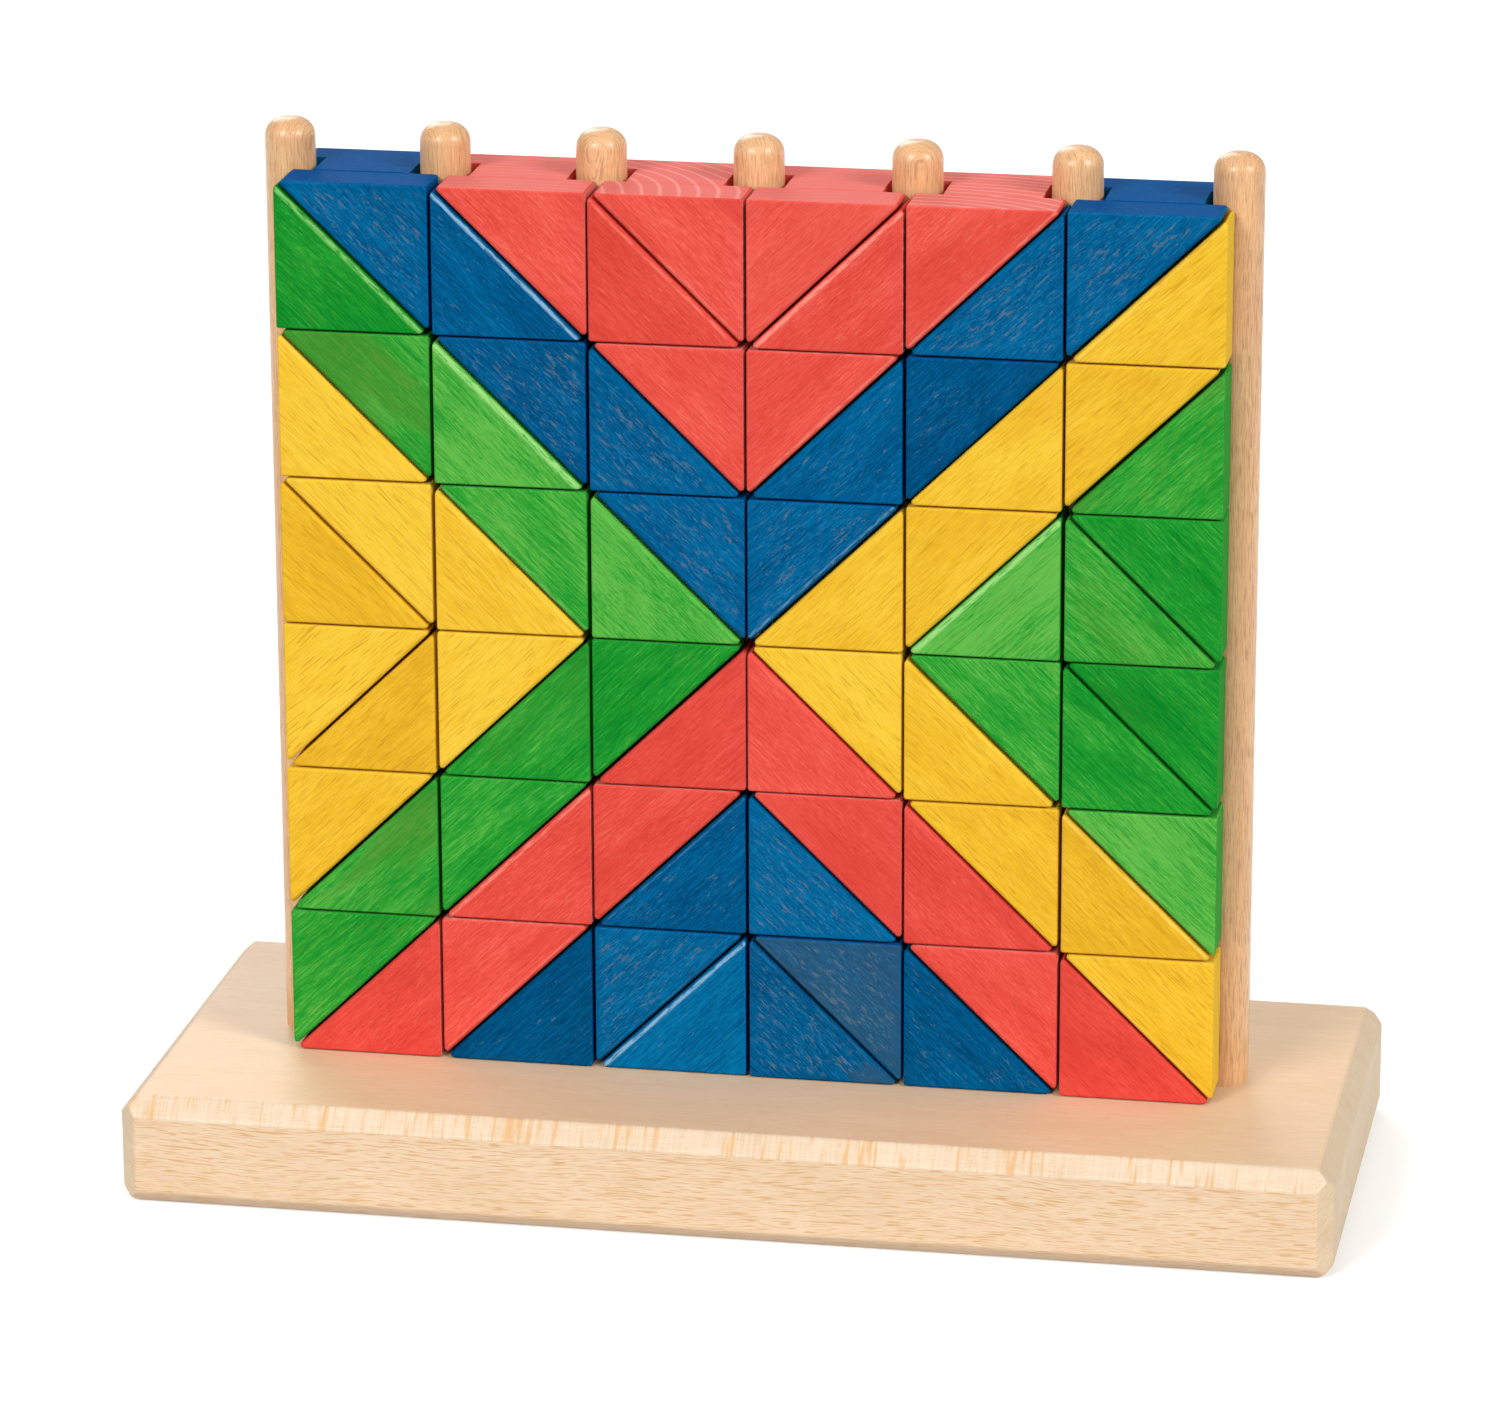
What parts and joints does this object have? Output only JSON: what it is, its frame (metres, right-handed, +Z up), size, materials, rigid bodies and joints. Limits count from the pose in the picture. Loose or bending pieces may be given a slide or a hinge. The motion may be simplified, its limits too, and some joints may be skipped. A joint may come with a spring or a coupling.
{
  "type": "wooden stacking triangle mosaic",
  "caption": "Wooden mosaic toy: coloured right-triangular prism blocks, slotted at both ends, stack between a row of upright dowels on a chamfered board and lift off.",
  "frame": {"origin": "centre of the board's underside, on the surface it stands on", "axes": "+X along the row of dowels, to the right seen from the front; -Y towards the front; +Z up along the dowels"},
  "size_m": [0.242, 0.1, 0.211],
  "materials": {
    "base_beech": "fine-sanded, clear oiled beech, soft satin",
    "dowel_beech": "turned beech dowel, clear satin lacquer",
    "red_stain": "translucent red stain on beech, grain showing, satin",
    "blue_stain": "translucent blue stain on beech, unstained flecks, satin",
    "green_stain": "translucent green stain on beech, uneven, satin",
    "yellow_stain": "translucent yellow stain on beech, brown flecks showing, satin"
  },
  "bodies": {
    "stand": {"base": "base_beech", "dowel_1": "dowel_beech", "dowel_2": "dowel_beech", "dowel_3": "dowel_beech", "dowel_4": "dowel_beech", "dowel_5": "dowel_beech", "dowel_6": "dowel_beech", "dowel_7": "dowel_beech"},
    "c1_r6_lower": {"block_c1_r6_lower": "red_stain"},
    "c1_r6_pair": {"block_c1_r6_pair": "green_stain"},
    "c1_r5_pair": {"block_c1_r5_pair": "yellow_stain"},
    "c1_r4_pair": {"block_c1_r4_pair": "yellow_stain"},
    "c1_r3_pair": {"block_c1_r3_pair": "yellow_stain"},
    "c1_r2_upper": {"block_c1_r2_upper": "green_stain"},
    "c1_r1_lower": {"block_c1_r1_lower": "green_stain"},
    "c1_r1_upper": {"block_c1_r1_upper": "blue_stain"},
    "c2_r6_lower": {"block_c2_r6_lower": "blue_stain"},
    "c2_r6_pair": {"block_c2_r6_pair": "red_stain"},
    "c2_r5_pair": {"block_c2_r5_pair": "green_stain"},
    "c2_r4_pair": {"block_c2_r4_pair": "yellow_stain"},
    "c2_r3_upper": {"block_c2_r3_upper": "green_stain"},
    "c2_r2_lower": {"block_c2_r2_lower": "green_stain"},
    "c2_r2_upper": {"block_c2_r2_upper": "blue_stain"},
    "c2_r1_lower": {"block_c2_r1_lower": "blue_stain"},
    "c2_r1_upper": {"block_c2_r1_upper": "red_stain"},
    "c3_r6_lower": {"block_c3_r6_lower": "blue_stain"},
    "c3_r6_pair": {"block_c3_r6_pair": "blue_stain"},
    "c3_r5_pair": {"block_c3_r5_pair": "red_stain"},
    "c3_r4_pair": {"block_c3_r4_pair": "green_stain"},
    "c3_r3_upper": {"block_c3_r3_upper": "blue_stain"},
    "c3_r2_lower": {"block_c3_r2_lower": "blue_stain"},
    "c3_r2_upper": {"block_c3_r2_upper": "red_stain"},
    "c3_r1_lower": {"block_c3_r1_lower": "red_stain"},
    "c3_r1_upper": {"block_c3_r1_upper": "red_stain"},
    "c4_r6_lower": {"block_c4_r6_lower": "blue_stain"},
    "c4_r6_pair": {"block_c4_r6_pair": "blue_stain"},
    "c4_r5_pair": {"block_c4_r5_pair": "red_stain"},
    "c4_r4_pair": {"block_c4_r4_pair": "yellow_stain"},
    "c4_r3_upper": {"block_c4_r3_upper": "blue_stain"},
    "c4_r2_lower": {"block_c4_r2_lower": "blue_stain"},
    "c4_r2_upper": {"block_c4_r2_upper": "red_stain"},
    "c4_r1_lower": {"block_c4_r1_lower": "red_stain"},
    "c4_r1_upper": {"block_c4_r1_upper": "red_stain"},
    "c5_r6_lower": {"block_c5_r6_lower": "blue_stain"},
    "c5_r6_pair": {"block_c5_r6_pair": "red_stain"},
    "c5_r5_pair": {"block_c5_r5_pair": "yellow_stain"},
    "c5_r4_pair": {"block_c5_r4_pair": "green_stain"},
    "c5_r3_upper": {"block_c5_r3_upper": "yellow_stain"},
    "c5_r2_lower": {"block_c5_r2_lower": "yellow_stain"},
    "c5_r2_upper": {"block_c5_r2_upper": "blue_stain"},
    "c5_r1_lower": {"block_c5_r1_lower": "blue_stain"},
    "c5_r1_upper": {"block_c5_r1_upper": "red_stain"},
    "c6_r6_lower": {"block_c6_r6_lower": "red_stain"},
    "c6_r6_pair": {"block_c6_r6_pair": "yellow_stain"},
    "c6_r5_pair": {"block_c6_r5_pair": "green_stain"},
    "c6_r4_pair": {"block_c6_r4_pair": "green_stain"},
    "c6_r3_pair": {"block_c6_r3_pair": "green_stain"},
    "c6_r2_upper": {"block_c6_r2_upper": "yellow_stain"},
    "c6_r1_lower": {"block_c6_r1_lower": "yellow_stain"},
    "c6_r1_upper": {"block_c6_r1_upper": "blue_stain"}
  },
  "joints": [
    {"name": "lift_c1_r6_lower", "type": "slide", "parent": "stand", "child": "c1_r6_lower", "axis": [0, 0, 1], "range_m": [0, 0.193]},
    {"name": "lift_c1_r6_pair", "type": "slide", "parent": "c1_r6_lower", "child": "c1_r6_pair", "axis": [0, 0, 1], "range_m": [0, 0.193]},
    {"name": "lift_c1_r5_pair", "type": "slide", "parent": "c1_r6_pair", "child": "c1_r5_pair", "axis": [0, 0, 1], "range_m": [0, 0.163]},
    {"name": "lift_c1_r4_pair", "type": "slide", "parent": "c1_r5_pair", "child": "c1_r4_pair", "axis": [0, 0, 1], "range_m": [0, 0.133]},
    {"name": "lift_c1_r3_pair", "type": "slide", "parent": "c1_r4_pair", "child": "c1_r3_pair", "axis": [0, 0, 1], "range_m": [0, 0.103]},
    {"name": "lift_c1_r2_upper", "type": "slide", "parent": "c1_r3_pair", "child": "c1_r2_upper", "axis": [0, 0, 1], "range_m": [0, 0.073]},
    {"name": "lift_c1_r1_lower", "type": "slide", "parent": "c1_r2_upper", "child": "c1_r1_lower", "axis": [0, 0, 1], "range_m": [0, 0.043]},
    {"name": "lift_c1_r1_upper", "type": "slide", "parent": "c1_r1_lower", "child": "c1_r1_upper", "axis": [0, 0, 1], "range_m": [0, 0.043]},
    {"name": "lift_c2_r6_lower", "type": "slide", "parent": "stand", "child": "c2_r6_lower", "axis": [0, 0, 1], "range_m": [0, 0.193]},
    {"name": "lift_c2_r6_pair", "type": "slide", "parent": "c2_r6_lower", "child": "c2_r6_pair", "axis": [0, 0, 1], "range_m": [0, 0.193]},
    {"name": "lift_c2_r5_pair", "type": "slide", "parent": "c2_r6_pair", "child": "c2_r5_pair", "axis": [0, 0, 1], "range_m": [0, 0.163]},
    {"name": "lift_c2_r4_pair", "type": "slide", "parent": "c2_r5_pair", "child": "c2_r4_pair", "axis": [0, 0, 1], "range_m": [0, 0.133]},
    {"name": "lift_c2_r3_upper", "type": "slide", "parent": "c2_r4_pair", "child": "c2_r3_upper", "axis": [0, 0, 1], "range_m": [0, 0.103]},
    {"name": "lift_c2_r2_lower", "type": "slide", "parent": "c2_r3_upper", "child": "c2_r2_lower", "axis": [0, 0, 1], "range_m": [0, 0.073]},
    {"name": "lift_c2_r2_upper", "type": "slide", "parent": "c2_r2_lower", "child": "c2_r2_upper", "axis": [0, 0, 1], "range_m": [0, 0.073]},
    {"name": "lift_c2_r1_lower", "type": "slide", "parent": "c2_r2_upper", "child": "c2_r1_lower", "axis": [0, 0, 1], "range_m": [0, 0.043]},
    {"name": "lift_c2_r1_upper", "type": "slide", "parent": "c2_r1_lower", "child": "c2_r1_upper", "axis": [0, 0, 1], "range_m": [0, 0.043]},
    {"name": "lift_c3_r6_lower", "type": "slide", "parent": "stand", "child": "c3_r6_lower", "axis": [0, 0, 1], "range_m": [0, 0.193]},
    {"name": "lift_c3_r6_pair", "type": "slide", "parent": "c3_r6_lower", "child": "c3_r6_pair", "axis": [0, 0, 1], "range_m": [0, 0.193]},
    {"name": "lift_c3_r5_pair", "type": "slide", "parent": "c3_r6_pair", "child": "c3_r5_pair", "axis": [0, 0, 1], "range_m": [0, 0.163]},
    {"name": "lift_c3_r4_pair", "type": "slide", "parent": "c3_r5_pair", "child": "c3_r4_pair", "axis": [0, 0, 1], "range_m": [0, 0.133]},
    {"name": "lift_c3_r3_upper", "type": "slide", "parent": "c3_r4_pair", "child": "c3_r3_upper", "axis": [0, 0, 1], "range_m": [0, 0.103]},
    {"name": "lift_c3_r2_lower", "type": "slide", "parent": "c3_r3_upper", "child": "c3_r2_lower", "axis": [0, 0, 1], "range_m": [0, 0.073]},
    {"name": "lift_c3_r2_upper", "type": "slide", "parent": "c3_r2_lower", "child": "c3_r2_upper", "axis": [0, 0, 1], "range_m": [0, 0.073]},
    {"name": "lift_c3_r1_lower", "type": "slide", "parent": "c3_r2_upper", "child": "c3_r1_lower", "axis": [0, 0, 1], "range_m": [0, 0.043]},
    {"name": "lift_c3_r1_upper", "type": "slide", "parent": "c3_r1_lower", "child": "c3_r1_upper", "axis": [0, 0, 1], "range_m": [0, 0.043]},
    {"name": "lift_c4_r6_lower", "type": "slide", "parent": "stand", "child": "c4_r6_lower", "axis": [0, 0, 1], "range_m": [0, 0.193]},
    {"name": "lift_c4_r6_pair", "type": "slide", "parent": "c4_r6_lower", "child": "c4_r6_pair", "axis": [0, 0, 1], "range_m": [0, 0.193]},
    {"name": "lift_c4_r5_pair", "type": "slide", "parent": "c4_r6_pair", "child": "c4_r5_pair", "axis": [0, 0, 1], "range_m": [0, 0.163]},
    {"name": "lift_c4_r4_pair", "type": "slide", "parent": "c4_r5_pair", "child": "c4_r4_pair", "axis": [0, 0, 1], "range_m": [0, 0.133]},
    {"name": "lift_c4_r3_upper", "type": "slide", "parent": "c4_r4_pair", "child": "c4_r3_upper", "axis": [0, 0, 1], "range_m": [0, 0.103]},
    {"name": "lift_c4_r2_lower", "type": "slide", "parent": "c4_r3_upper", "child": "c4_r2_lower", "axis": [0, 0, 1], "range_m": [0, 0.073]},
    {"name": "lift_c4_r2_upper", "type": "slide", "parent": "c4_r2_lower", "child": "c4_r2_upper", "axis": [0, 0, 1], "range_m": [0, 0.073]},
    {"name": "lift_c4_r1_lower", "type": "slide", "parent": "c4_r2_upper", "child": "c4_r1_lower", "axis": [0, 0, 1], "range_m": [0, 0.043]},
    {"name": "lift_c4_r1_upper", "type": "slide", "parent": "c4_r1_lower", "child": "c4_r1_upper", "axis": [0, 0, 1], "range_m": [0, 0.043]},
    {"name": "lift_c5_r6_lower", "type": "slide", "parent": "stand", "child": "c5_r6_lower", "axis": [0, 0, 1], "range_m": [0, 0.193]},
    {"name": "lift_c5_r6_pair", "type": "slide", "parent": "c5_r6_lower", "child": "c5_r6_pair", "axis": [0, 0, 1], "range_m": [0, 0.193]},
    {"name": "lift_c5_r5_pair", "type": "slide", "parent": "c5_r6_pair", "child": "c5_r5_pair", "axis": [0, 0, 1], "range_m": [0, 0.163]},
    {"name": "lift_c5_r4_pair", "type": "slide", "parent": "c5_r5_pair", "child": "c5_r4_pair", "axis": [0, 0, 1], "range_m": [0, 0.133]},
    {"name": "lift_c5_r3_upper", "type": "slide", "parent": "c5_r4_pair", "child": "c5_r3_upper", "axis": [0, 0, 1], "range_m": [0, 0.103]},
    {"name": "lift_c5_r2_lower", "type": "slide", "parent": "c5_r3_upper", "child": "c5_r2_lower", "axis": [0, 0, 1], "range_m": [0, 0.073]},
    {"name": "lift_c5_r2_upper", "type": "slide", "parent": "c5_r2_lower", "child": "c5_r2_upper", "axis": [0, 0, 1], "range_m": [0, 0.073]},
    {"name": "lift_c5_r1_lower", "type": "slide", "parent": "c5_r2_upper", "child": "c5_r1_lower", "axis": [0, 0, 1], "range_m": [0, 0.043]},
    {"name": "lift_c5_r1_upper", "type": "slide", "parent": "c5_r1_lower", "child": "c5_r1_upper", "axis": [0, 0, 1], "range_m": [0, 0.043]},
    {"name": "lift_c6_r6_lower", "type": "slide", "parent": "stand", "child": "c6_r6_lower", "axis": [0, 0, 1], "range_m": [0, 0.193]},
    {"name": "lift_c6_r6_pair", "type": "slide", "parent": "c6_r6_lower", "child": "c6_r6_pair", "axis": [0, 0, 1], "range_m": [0, 0.193]},
    {"name": "lift_c6_r5_pair", "type": "slide", "parent": "c6_r6_pair", "child": "c6_r5_pair", "axis": [0, 0, 1], "range_m": [0, 0.163]},
    {"name": "lift_c6_r4_pair", "type": "slide", "parent": "c6_r5_pair", "child": "c6_r4_pair", "axis": [0, 0, 1], "range_m": [0, 0.133]},
    {"name": "lift_c6_r3_pair", "type": "slide", "parent": "c6_r4_pair", "child": "c6_r3_pair", "axis": [0, 0, 1], "range_m": [0, 0.103]},
    {"name": "lift_c6_r2_upper", "type": "slide", "parent": "c6_r3_pair", "child": "c6_r2_upper", "axis": [0, 0, 1], "range_m": [0, 0.073]},
    {"name": "lift_c6_r1_lower", "type": "slide", "parent": "c6_r2_upper", "child": "c6_r1_lower", "axis": [0, 0, 1], "range_m": [0, 0.043]},
    {"name": "lift_c6_r1_upper", "type": "slide", "parent": "c6_r1_lower", "child": "c6_r1_upper", "axis": [0, 0, 1], "range_m": [0, 0.043]}
  ]
}
